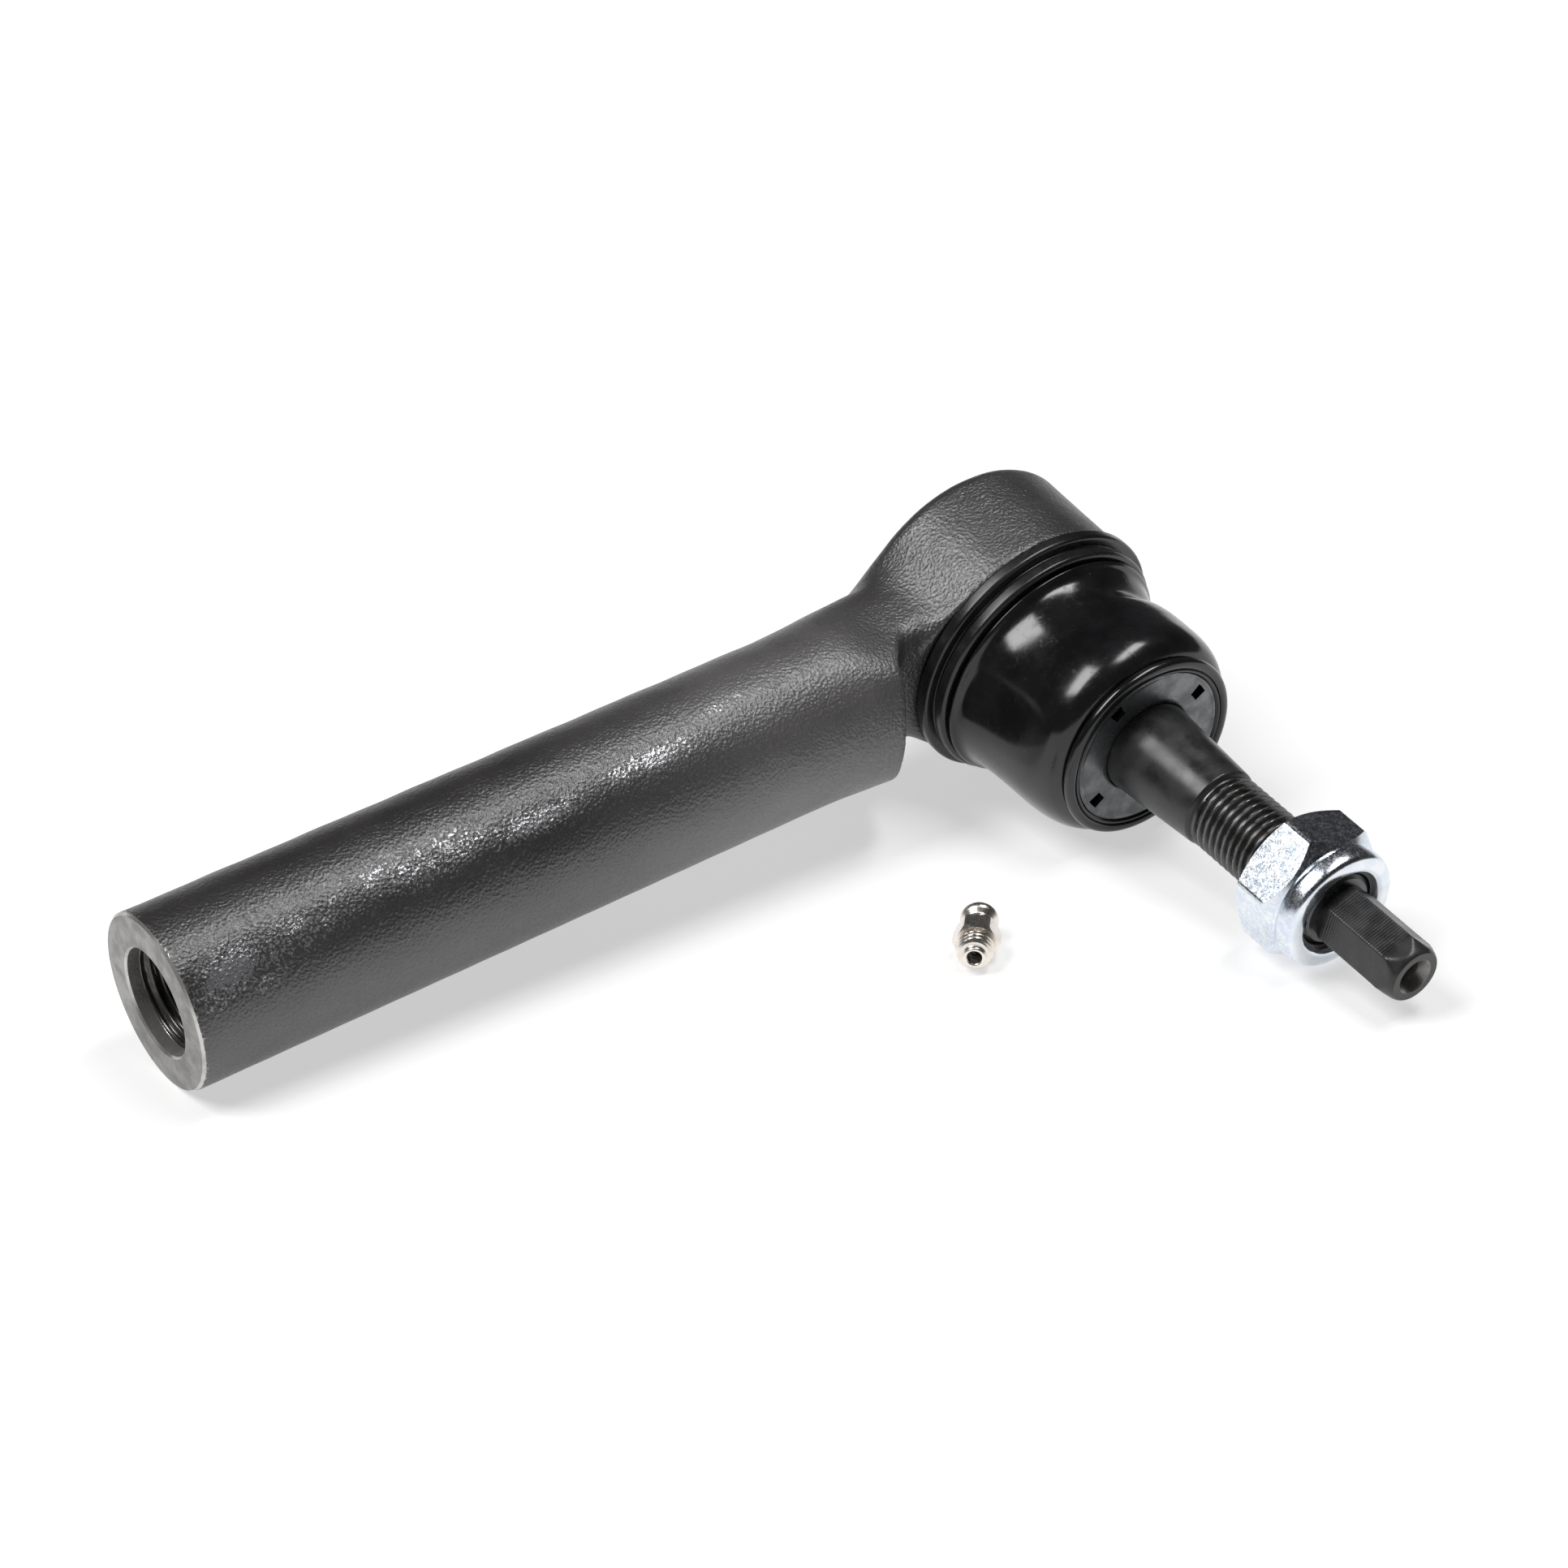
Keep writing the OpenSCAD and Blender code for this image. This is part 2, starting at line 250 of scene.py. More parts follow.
# ---------------------------------------------------------------- finishes
class Finish:
    """A node material: colour, roughness and bump each from patterns on Object coordinates."""

    def __init__(self, name, rough, metal=0.0, **shader):
        self.material = bpy.data.materials.new(name)
        self.material.use_nodes = True
        self.tree = self.material.node_tree
        self.shader = self.tree.nodes["Principled BSDF"]
        self.shader.inputs["Roughness"].default_value = rough
        self.shader.inputs["Metallic"].default_value = metal
        for socket, value in shader.items():
            self.shader.inputs[socket.replace("_", " ")].default_value = value
        self.place = self.tree.nodes.new("ShaderNodeTexCoord").outputs["Object"]
        self.bump = None

    def node(self, kind, **settings):
        made = self.tree.nodes.new(kind)
        for key, value in settings.items():
            if key in made.inputs:
                made.inputs[key].default_value = value
            else:
                setattr(made, key, value)
        return made

    def link(self, a, b):
        self.tree.links.new(a, b)

    def mapped(self, stretch, turn):
        """The place on the object, turned and then stretched."""
        made = self.node("ShaderNodeMapping")
        made.inputs["Scale"].default_value = stretch
        made.inputs["Rotation"].default_value = turn
        self.link(self.place, made.inputs["Vector"])
        return made.outputs["Vector"]

    def noise(self, size_mm, detail=3.0, rough=0.55, distortion=0.0, place=None):
        """Noise whose features are about size_mm across."""
        made = self.node("ShaderNodeTexNoise", Scale=1 / (size_mm * MM), Detail=detail,
                         Roughness=rough, Distortion=distortion)
        self.link(place or self.place, made.inputs["Vector"])
        return made.outputs["Fac"]

    def kept(self, name):
        """A number that the mesh keeps on its points."""
        return self.node("ShaderNodeAttribute", attribute_name=name).outputs["Fac"]

    def cells(self, size_mm):
        """Distance from the middles of scattered cells about size_mm across."""
        made = self.node("ShaderNodeTexVoronoi", Scale=1 / (size_mm * MM))
        self.link(self.place, made.inputs["Vector"])
        return made.outputs["Distance"]

    def band(self, value, low, high, to_low=0.0, to_high=1.0):
        """Value between low and high, spread from to_low to to_high."""
        made = self.node("ShaderNodeMapRange", interpolation_type="SMOOTHSTEP")
        for key, number in zip(("From Min", "From Max", "To Min", "To Max"),
                               (low, high, to_low, to_high)):
            made.inputs[key].default_value = number
        self.link(value, made.inputs["Value"])
        return made.outputs["Result"]

    def sum(self, a, b, operation="ADD"):
        """The two put together by the operation; each is a number or a link."""
        made = self.node("ShaderNodeMath", operation=operation)
        for value, socket in ((a, made.inputs[0]), (b, made.inputs[1])):
            if isinstance(value, (int, float)):
                socket.default_value = value
            else:
                self.link(value, socket)
        return made.outputs[0]

    def mix(self, share, low, high):
        """Colour low where share is 0, high where it is 1; either may be a colour or a link."""
        made = self.node("ShaderNodeMix", data_type="RGBA")
        self.link(share, made.inputs["Factor"])
        for value, socket in ((low, made.inputs[6]), (high, made.inputs[7])):
            if isinstance(value, tuple):
                socket.default_value = (*value, 1)
            else:
                self.link(value, socket)
        return made.outputs[2]

    def product(self, a, b):
        return self.sum(a, b, "MULTIPLY")

    def colour(self, link):
        self.link(link, self.shader.inputs["Base Color"])

    def roughness(self, link):
        self.link(link, self.shader.inputs["Roughness"])

    def relief(self, height, depth_mm, strength=1.0):
        """Adds a bump of that depth over the ones already there."""
        made = self.node("ShaderNodeBump", Strength=strength, Distance=depth_mm * MM)
        self.link(height, made.inputs["Height"])
        if self.bump:
            self.link(self.bump, made.inputs["Normal"])
        self.bump = made.outputs["Normal"]
        self.link(self.bump, self.shader.inputs["Normal"])


def forged_skin():
    """Phosphated forging: a pebbled scale, darker and lighter drifts, and spots rubbed bright,
    where only the pebbles' tops are bare."""
    f = Finish("forged_skin", 0.42, IOR=1.85)
    pebble = f.noise(0.48, 3, 0.55)
    grain = f.cells(0.62)
    drift = f.noise(16, 3, 0.55)
    patch = f.noise(5, 4, 0.6, 0.4)
    dust = f.cells(2.3)
    rubbed, pale = f.kept("rubbed"), f.kept("pale")
    cloud = f.band(drift, 0.35, 0.65)
    dark = f.mix(cloud, (0.017, 0.0155, 0.0155), (0.028, 0.026, 0.0255))
    light = f.mix(cloud, (0.066, 0.063, 0.063), (0.095, 0.091, 0.091))
    tops = f.mix(pale, (0.042, 0.0395, 0.039), (0.13, 0.125, 0.125))
    tone = f.mix(f.band(pebble, 0.35, 0.7, 0.0, 0.5), f.mix(pale, dark, light), tops)
    reach = f.product(rubbed, f.band(patch, 0.35, 0.6, 0.4, 1.0))
    bare = f.band(f.sum(pebble, f.product(reach, 0.3)), 0.62, 0.72)
    bare = f.product(bare, f.band(reach, 0.05, 0.4))
    tone = f.mix(f.product(bare, 0.85), tone, (0.46, 0.46, 0.48))
    lint = f.product(f.band(dust, 0.05, 0.09, 1.0, 0.0), f.band(patch, 0.5, 0.62))
    f.colour(f.mix(f.product(lint, 0.35), tone, (0.3, 0.3, 0.3)))
    f.link(f.product(bare, 0.8), f.shader.inputs["Metallic"])
    f.roughness(f.sum(f.band(pebble, 0.3, 0.7, 0.4, 0.29), f.product(bare, -0.05)))
    f.relief(drift, 0.5, 0.35)
    f.relief(grain, 0.11, 0.7)
    f.relief(pebble, 0.15, 0.8)
    return f.material


def machined_steel(name, dark, light, rough=0.3):
    """Turned steel under a thin dark film: a fine tooled grain and stains."""
    f = Finish(name, rough, 0.85)
    stain = f.noise(3.5, 4, 0.6)
    f.colour(f.mix(f.band(stain, 0.35, 0.65), dark, light))
    f.roughness(f.band(stain, 0.3, 0.7, rough + 0.1, rough - 0.06))
    f.relief(f.noise(0.25, 2, 0.6), 0.03, 0.6)
    return f.material


def gloss_rubber(name, tone=0.006, rough=0.13, scuffed_mm=0.012):
    """Moulded rubber: smooth black gloss with faint bloom, scuffs and dust."""
    f = Finish(name, rough, IOR=1.52)
    bloom = f.noise(9, 4, 0.6)
    scuff = f.noise(1.4, 5, 0.65, 1.5)
    dust = f.cells(1.9)
    bloomed = (tone * 1.9, tone * 1.9, tone * 2.1)
    base = f.mix(f.band(bloom, 0.35, 0.7), (tone, tone, tone * 1.1), bloomed)
    mote = f.product(f.band(dust, 0.03, 0.055, 1.0, 0.0), f.band(bloom, 0.48, 0.6))
    f.colour(f.mix(f.product(mote, 0.5), base, (0.25, 0.25, 0.26)))
    duller = f.band(bloom, 0.3, 0.7, rough, rough + 0.07)
    f.roughness(f.sum(f.band(scuff, 0.5, 0.75, 0.0, 0.14), duller))
    f.relief(scuff, scuffed_mm, 0.5)
    return f.material


def black_oxide(name, tone, rough):
    """Oxidised steel: satin black with rubbed drifts and hair scratches."""
    f = Finish(name, rough, IOR=1.48)
    drift = f.noise(4, 4, 0.6)
    hair = f.noise(0.5, 3, 0.6, 0.6)
    worn = (tone * 1.9, tone * 1.9, tone * 1.95)
    tint = f.mix(f.band(drift, 0.35, 0.7), (tone, tone, tone), worn)
    f.colour(f.mix(f.product(f.band(hair, 0.68, 0.76), 0.35), tint, (0.12, 0.12, 0.12)))
    f.roughness(f.band(drift, 0.3, 0.7, rough - 0.05, rough + 0.08))
    f.relief(hair, 0.008, 0.5)
    f.relief(drift, 0.05, 0.3)
    return f.material


def rubbed_thread():
    """Black oxide that is rubbed towards bare steel along the thread's crests."""
    f = Finish("thread_oxide", 0.3, IOR=1.8)
    drift = f.noise(1.5, 4, 0.6)
    rub = f.product(f.band(f.kept("crest"), 0.82, 1.0), f.band(drift, 0.35, 0.65, 0.25, 1.0))
    base = f.mix(f.band(drift, 0.35, 0.7), (0.012, 0.012, 0.012), (0.024, 0.023, 0.022))
    f.colour(f.mix(rub, base, (0.17, 0.165, 0.155)))
    f.roughness(f.band(drift, 0.3, 0.7, 0.24, 0.36))
    f.relief(drift, 0.02, 0.5)
    return f.material


def bright_plate(name, cold, warm, rough, speckle=0.0):
    """Bright plating: scratched, and blotched where the coat sits on coarse flats; how coarse
    is kept on the points."""
    f = Finish(name, rough, 1.0)
    cloud = f.noise(3, 4, 0.6)
    grit = f.noise(0.35, 3, 0.7)
    blotch = f.noise(1.0, 4, 0.65, 0.5)
    scratch = f.noise(0.6, 3, 0.6, 1.2, place=f.mapped((1, 6, 1), (0.4, 0.2, 0.7)))
    coarse = f.kept("coarse")
    spots = f.product(f.band(blotch, 0.45, 0.58), coarse)
    shade = f.mix(f.band(cloud, 0.35, 0.65), cold, warm)
    dull = (cold[0] * 0.62, cold[1] * 0.7, cold[2] * 0.86)
    f.colour(f.mix(f.product(spots, 0.4), shade, dull))
    rub = f.sum(f.band(grit, 0.45, 0.7, 0.0, speckle), f.band(scratch, 0.58, 0.72, 0.0, 0.14))
    rub = f.sum(rub, f.product(f.band(blotch, 0.4, 0.6, 0.12, 0.05), coarse))
    f.roughness(f.sum(rub, rough))
    f.relief(grit, 0.02, speckle * 3)
    f.relief(f.product(blotch, coarse), 0.005, 0.5)
    f.relief(scratch, 0.012, 0.5)
    return f.material


def plain_plastic(name, tone, rough):
    """Moulded plastic: one tone with a faint cloud and a fine grain."""
    f = Finish(name, rough)
    light = tuple(min(1.0, c * 1.15) for c in tone)
    f.colour(f.mix(f.band(f.noise(2, 4, 0.6), 0.35, 0.65), tone, light))
    f.relief(f.noise(0.2, 2, 0.6), 0.01, 0.5)
    return f.material


forged = forged_skin()
mouth_steel = machined_steel("mouth_steel", (0.17, 0.165, 0.16), (0.25, 0.245, 0.235))
bore_steel = machined_steel("bore_steel", (0.07, 0.068, 0.065), (0.12, 0.117, 0.112))
boot_rubber = gloss_rubber("boot_rubber")
ring_rubber = gloss_rubber("ring_coat", 0.008, 0.24, 0.004)
rim_steel = machined_steel("rim_steel", (0.42, 0.41, 0.4), (0.6, 0.59, 0.57), 0.28)
stud_oxide = black_oxide("stud_oxide", 0.017, 0.3)
thread_oxide = rubbed_thread()
plate_steel = machined_steel("plate_steel", (0.1, 0.105, 0.11), (0.17, 0.175, 0.18), 0.27)
zinc = bright_plate("bright_zinc", (0.72, 0.77, 0.84), (0.82, 0.85, 0.88), 0.13, 0.12)
nickel = bright_plate("nickel_plate", (0.74, 0.69, 0.63), (0.86, 0.81, 0.76), 0.27, 0.03)
acetal = plain_plastic("acetal", (0.72, 0.69, 0.6), 0.4)
nylon = plain_plastic("nylon_black", (0.02, 0.02, 0.022), 0.4)
spring_steel = machined_steel("spring_steel", (0.3, 0.31, 0.32), (0.4, 0.41, 0.42))
polished = bright_plate("polished_ball", (0.8, 0.8, 0.8), (0.86, 0.86, 0.86), 0.06, 0.01)


# ---------------------------------------------------------------- forging
MOUTH = -168.5
BARREL_R = 15.0
NECK_R = 16.2
NECK_SIDE = 13.0
NECK_FLARE = 4.5
EYE_R = 23.2
EYE_BACK = 16.5
EYE_EDGE = 3.0
EYE_FILLET = 5.5
EYE_FRONT = -5.0
BOSS_R = 20.5
BOSS_END = -11.0
RELIEF_R = 34.5
RELIEF_FILLET = 6.0
HAMMERED = 0.03


def forging_field(p):
    """Distance-like field of the forging, negative inside, from these rules:
    the barrel is a round bar that swells from 15 to 16.2 mm radius towards the eye and flattens
    at its sides there; the eye is a drum with a 3 mm rounded back edge; the two join with a
    fillet; a round relief about the eye's axis takes away what lies in front of the eye's face,
    with a fillet in its corner; and the boss stands in front of the face."""
    x, y, z = p[..., 0], p[..., 1], p[..., 2]
    from_eye = np.hypot(x, z)
    swell = BARREL_R + (NECK_R - BARREL_R) * smooth((x + 50) / 28)
    bar = np.hypot(y, z) - swell
    side = NECK_SIDE + NECK_FLARE * (1 - smooth((x + 46) / 18))
    bar = soft_max(bar, np.abs(z) - side, 3.0)
    bar = np.maximum(bar, x - 2)
    drum_side, drum_back = from_eye - EYE_R + EYE_EDGE, y - EYE_BACK + EYE_EDGE
    drum = (np.hypot(np.maximum(drum_side, 0), np.maximum(drum_back, 0))
            + np.minimum(np.maximum(drum_side, drum_back), 0) - EYE_EDGE)
    whole = soft_min(bar, drum, EYE_FILLET)
    whole = soft_max(whole, y - EYE_BACK, 0.8)
    inner = soft_min(RELIEF_R - from_eye, EYE_FRONT - y, RELIEF_FILLET)
    soft_edge = 0.7 + 5.0 * smooth((from_eye - 23.6) / 3) * (1 - smooth((from_eye - 29) / 4.5))
    whole = soft_max(whole, inner, soft_edge)
    boss = np.maximum(np.maximum(from_eye - BOSS_R, BOSS_END - y), y - 5)
    whole = np.minimum(whole, boss)
    # Slow unevenness of a hammered skin
    wave = (np.sin(x * 0.33 + 1.3 * np.sin(z * 0.21)) * np.sin(y * 0.37 + z * 0.29 + 0.8)
            + 0.6 * np.sin(x * 0.71 + y * 0.55 + 2.0) * np.sin(z * 0.63 - y * 0.41))
    return whole - HAMMERED * wave


def nearest_on(field, p, steps=4):
    """Newton's steps onto the field's zero: p - f * gradient / |gradient|^2."""
    h = 0.01
    for _ in range(steps):
        f = field(p)
        slope = np.stack([field(p + h * e) - field(p - h * e) for e in np.eye(3)], -1) / (2 * h)
        p = p - (f / np.maximum((slope**2).sum(-1), 0.05))[:, None] * slope
    return p


def skin_of(field, low, high, step):
    """The field's zero surface as quads: one point in each cell of a lattice that the surface
    crosses, pulled onto the surface, and one face across each lattice edge that it crosses."""
    axes = [np.arange(a, b + step, step) for a, b in zip(low, high)]
    lattice = np.stack(np.meshgrid(*axes, indexing="ij"), -1)
    solid = field(lattice) < 0
    ends = (slice(None, -1), slice(1, None))
    count = sum(solid[a, b, c].astype(np.int8) for a in ends for b in ends for c in ends)
    crossed = (count > 0) & (count < 8)
    number = np.full(crossed.shape, -1)
    number[crossed] = np.arange(crossed.sum())
    points = lattice[:-1, :-1, :-1][crossed] + step / 2
    faces = []
    for axis in range(3):
        s = np.moveaxis(solid, axis, 0)
        n = np.moveaxis(number, axis, 0)
        change = s[:-1, 1:-1, 1:-1] != s[1:, 1:-1, 1:-1]
        around = [n[:, :-1, :-1], n[:, 1:, :-1], n[:, 1:, 1:], n[:, :-1, 1:]]
        ring = np.stack([c[change] for c in around], -1)
        outward = s[:-1, 1:-1, 1:-1][change]
        turn = outward if axis != 1 else ~outward
        ring[~turn] = ring[~turn][:, ::-1]
        faces.append(ring)
    faces = np.concatenate(faces)
    points = nearest_on(field, points)
    for _ in range(3):
        # Each point moves towards the mean of its faces' middles, then back onto the surface
        middle = points[faces].mean(1)
        total = np.stack([np.bincount(faces.ravel(), np.repeat(middle[:, k], 4), len(points))
                          for k in range(3)], -1)
        points = total / np.bincount(faces.ravel(), minlength=len(points))[:, None]
        points = nearest_on(field, points, 2)
    return points, faces


def cut(target, cutters):
    """Takes each closed cutter away from the target mesh object, exactly."""
    for cutter in cutters:
        mod = target.modifiers.new("cut", "BOOLEAN")
        mod.operation = "DIFFERENCE"
        mod.solver = "EXACT"
        mod.object = cutter
    graph = bpy.context.evaluated_depsgraph_get()
    mesh = bpy.data.meshes.new_from_object(target.evaluated_get(graph))
    target.modifiers.clear()
    target.data = mesh
    for cutter in cutters:
        bpy.data.objects.remove(cutter)
    return target


def loose(name, mesh):
    made = bpy.data.objects.new(name, mesh)
    bpy.context.scene.collection.objects.link(made)
    return made


SOCKET_R = 9.02
COUNTERBORE_R = 9.1
THREAD_START = -166.0
SOCKET_DEPTH = 60.0
DRILL_POINT = math.radians(59)
MOUTH_RIM = 14.6
CAVITY_R = 18.05
SKIN_STEP = 0.56
SKIN_LOW, SKIN_HIGH = (-171.2, -18.2, -24.4), (24.6, 17.7, 24.6)

skin_points, skin_faces = skin_of(forging_field, SKIN_LOW, SKIN_HIGH, SKIN_STEP)
forging = loose("forging", merged_mesh("forging", on_housing(skin_points), skin_faces))

mouth = -MOUTH
start = -THREAD_START
# Mouth face, outer chamfer, counterbore and drilled socket, as one turned cutter
mouth_cutter = np.array([
    [0, mouth + 8], [28, mouth + 8], [28, mouth - 13.4], [15.1, mouth - 0.5], [MOUTH_RIM, mouth],
    [COUNTERBORE_R + 0.35, mouth], [COUNTERBORE_R, mouth - 0.35], [COUNTERBORE_R, start],
    [SOCKET_R, start], [SOCKET_R, start - SOCKET_DEPTH],
    [0, start - SOCKET_DEPTH - SOCKET_R / math.tan(DRILL_POINT)]])
cavity_cutter = np.array([
    [0, -18.5], [17.3, -18.5], [17.3, -16.5], [16.8, -16.0], [16.8, -15.5], [18, -15.5],
    [18, -12.5], [16.2, -12.5], [16.2, 7], [12.4, 7], [14, 12], [0, 12]])
cut(forging, [
    loose("mouth_cutter", solid_grid("mouth_cutter", turned(mouth_cutter, 144), on_barrel)),
    loose("cavity_cutter", solid_grid("cavity_cutter", turned(cavity_cutter, 144), on_eye))])

mesh = forging.data
x, y, z = in_axes(mesh.polygons, "center", HOUSING).T
off_barrel, off_eye = np.hypot(y, z), np.hypot(x, z)
near_mouth, before_thread = x < MOUTH + 0.45, x < THREAD_START + 0.05
FORGED, MOUTH_FACE, BORE, RIM = range(4)
region = np.full(len(x), FORGED, np.int32)
region[near_mouth] = MOUTH_FACE
region[(off_barrel < COUNTERBORE_R + 0.4) & before_thread] = RIM
region[(off_barrel < SOCKET_R + 0.15) & ~before_thread & (x < -90)] = BORE
region[(off_barrel > MOUTH_RIM - 0.05) & (x < MOUTH + 0.42) & (x > MOUTH + 0.02)] = RIM
region[off_eye < CAVITY_R] = BORE
mesh.materials.clear()
finished(mesh, 33)
for finish in (forged, mouth_steel, bore_steel, rim_steel):
    mesh.materials.append(finish)
mesh.polygons.foreach_set("material_index", region)

# How rubbed the skin is: most on spots along the barrel's upper side and at its mouth rim.
# Each spot: its place along the barrel, its angle, its length, its width and its share
RUBBED_SPOTS = ((-160, -42, 9, 15, 1.0), (-146, -35, 13, 12, 0.6), (-125, -26, 24, 14, 0.6),
                (-105, -30, 10, 8, 1.0), (-80, -25, 10, 7, 1.0), (-64, -11, 6, 5, 0.7))
x, y, z = in_axes(mesh.vertices, "co", HOUSING).T
angle = np.degrees(np.arctan2(y, z))
rubbed = 0.7 * np.exp(-((x - MOUTH) / 0.8) ** 2)
for along, around, length, width, share in RUBBED_SPOTS:
    spot = np.exp(-((x - along) / length) ** 2 - ((angle - around) / width) ** 2)
    rubbed = np.maximum(rubbed, share * spot)
point_value("rubbed", mesh, rubbed)
# How pale its scale is: most on the barrel's side towards the eye, some on the eye
point_value("pale", mesh, smooth((x + 105) / 50) * (1 - 0.75 * smooth((x + 42) / 16)))
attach(forging, "forging")
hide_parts("housing")

# ---------------------------------------------------------------- threads
PITCH = 1.5
SLEEVE_LENGTH = 44
SLEEVE_CREST_R = 8.2


def thread_form(phase, depth):
    """Height above the root across one pitch: smooth flanks from a narrow crest, halfway
    through the pitch, down to a rounded root."""
    t = np.abs((phase % 1.0) - 0.5) * 2
    return depth * (1 - smooth((t - 0.02) / 0.86))


def helix_rows(z, sides, pitch, way=1):
    """Phase of a right-hand thread at each height and angle: z / pitch - angle / turn. Way is
    -1 where the axes are mirrored."""
    a = round_angles(sides)
    return z[:, None] / pitch - way * a[None, :] / TAU


def ring_surface(z, radius, sides):
    """Rings at the heights z: (r cos a, r sin a, z), the radius given for each point."""
    a = round_angles(sides)
    z = z[:, None] + 0 * a
    return np.stack([radius * np.cos(a), radius * np.sin(a), z], -1)


def socket_thread():
    """Inside of the rod socket: radius 8.2 mm plus the thread's form, in a thin sleeve that
    is let into the bore's wall, with a chamfer at the mouth's end."""
    sides = 120
    bottom = start - SLEEVE_LENGTH
    z = np.arange(bottom, start + 0.01, PITCH / 10)
    depth = 0.80 * smooth((z - bottom) / 2)[:, None]
    chamfer = 0.75 * smooth((z - start + 0.9) / 0.9)[:, None]
    inner = SLEEVE_CREST_R + thread_form(helix_rows(z, sides, PITCH, -1), depth) + chamfer
    inside = ring_surface(z, np.minimum(inner, 9.0), sides)
    outside_r = np.full((2, sides), SOCKET_R + 0.2)
    wall = ring_surface(np.array([start, bottom], float), outside_r, sides)
    grid = np.concatenate([inside, wall])
    return finished(solid_grid("socket_thread", grid, on_barrel, wrap_rows=True), 50)


piece("socket_thread", socket_thread(), bore_steel, "forging", [])

# ---------------------------------------------------------------- cover plate, ring, seal plate
cover_profile = rounded(
    [[2.5, -12.52], [17.96, -12.52], [17.96, -15.46], [15.2, -15.46], [14.4, -15.1], [8.4, -15.1],
     [7.6, -15.6], [6.4, -16.2], [5.9, -16.95], [3.4, -16.95], [2.5, -16.3], [2.5, -12.52]],
    [0.2, 0.2, 0.4, 0.8, 0.8, 0.8, 0.8, 0.8, 0.5, 0.5, 0.3])
cover = solid_grid("cover_plate_skin", turned(cover_profile[:-1]), on_eye, True)
piece("cover_plate_skin", finished(cover), forged, "forging", ["cover_plate"])

ring_profile = rounded(
    [[20.52, 5.32], [23.9, 5.32], [24.2, 5.6], [24.2, 7.2], [23.9, 7.68], [23.0, 7.68],
     [22.3, 7.75], [22.25, 8.3], [22.75, 8.5], [22.78, 10.2], [22.3, 10.68], [20.52, 10.68],
     [20.52, 5.32]],
    [0.15, 0.3, 0.4, 0.4, 0.4, 0.3, 0.25, 0.25, 0.35, 0.4, 0.4, 0.1], 6)
ring = solid_grid("boot_ring_skin", turned(ring_profile[:-1], 160), on_eye, True)
piece("boot_ring_skin", finished(ring, 40), ring_rubber, "forging", ["boot_ring"])

PLATE_TOP = 38.2
PLATE_THICK = 0.8
WINDOW_IN, WINDOW_OUT = 11.2, 13.6
WINDOW_HALF = 1.15 / 12.4


def seal_plate():
    """A thin dished disc as a polar grid with four cells left out for its windows, walled at
    every free edge; the cells' sides run along the radius and square to it."""
    radii = np.array([8.6, 8.8, 9.5, 10.2, 10.9, 11.25, 12.1, 12.9,
                      13.55, 13.8, 14.0, 14.2, 14.4, 14.55, 14.6])
    rise = np.array([-0.12, 0.0, 0.02, 0.04, 0.05, 0.05, 0.04, 0.02,
                     0.0, 0.0, 0.05, 0.16, 0.2, 0.16, 0.0])
    centres = np.radians(36 + 90 * np.arange(4))
    fine = np.linspace(-WINDOW_HALF, WINDOW_HALF, 5)
    rest = np.linspace(WINDOW_HALF, TAU / 4 - WINDOW_HALF, 22)[1:-1]
    angles = (centres[:, None] + np.concatenate([fine, rest])[None, :]).ravel()
    sides = len(angles)
    hole_cols = np.arange(sides) % (sides // 4) < 4
    hole_rows = (radii[:-1] > WINDOW_IN) & (radii[1:] < WINDOW_OUT)
    open_cell = hole_rows[:, None] & hole_cols[None, :]
    top = turned(np.stack([radii, PLATE_TOP + rise], -1), angles)
    under = top - [0, 0, PLATE_THICK]
    rows = len(radii)
    points = np.concatenate([top.reshape(-1, 3), under.reshape(-1, 3)])
    keep = ~open_cell.ravel()
    cells = quads(rows, sides)[keep]
    low = rows * sides
    # Every side that only one kept cell has gets a wall down to the under side
    edges = np.concatenate([cells[:, [k, (k + 1) % 4]] for k in range(4)])
    key = edges.min(1) * low + edges.max(1)
    _, first, times = np.unique(key, return_index=True, return_counts=True)
    free = edges[first[times == 1]]
    walls = np.stack([free[:, 1], free[:, 0], free[:, 0] + low, free[:, 1] + low], -1)
    faces = np.concatenate([cells, cells[:, ::-1] + low, walls])
    return finished(merged_mesh("seal_plate_skin", on_stud(points), faces), 40)


piece("seal_plate_skin", seal_plate(), plate_steel, "seal", ["seal_plate"])

# ---------------------------------------------------------------- boot
NOD, SWING = math.radians(-4.7), math.radians(-1.2)
BOOT_BASE, BOOT_LIP = 11.4, 38.9
SEAM = 26.0
BOOT_WALL = 2.2
# The dent: its angle and height, and the height of the swelling above it
DENT_ANGLE, DENT_AT, SWELL_AT = math.radians(52), 16.8, 24.0
boot_side = curve_through(
    [[21.75, 11.4], [21.95, 11.7], [21.75, 12.1], [21.15, 12.7], [20.75, 13.6], [20.45, 15.2],
     [20.22, 17.4], [20.08, 20], [20.04, 23], [20.08, 26], [20.08, 28.5], [19.93, 31],
     [19.5, 33.3], [18.75, 35.1], [17.85, 36.2], [17.0, 36.75], [16.55, 36.85]], 10)
boot_rim = curve_through(
    [[16.55, 36.85], [16.6, 37.0], [16.95, 37.2], [17.2, 37.6], [17.22, 38.1], [17.0, 38.6],
     [16.5, 38.88], [15.95, 38.88], [15.62, 38.68], [15.45, 38.4], [15.3, 38.66],
     [15.1, 38.72], [14.9, 38.62], [14.75, 38.4], [14.64, 38.2], [14.62, 37.4]], 7)


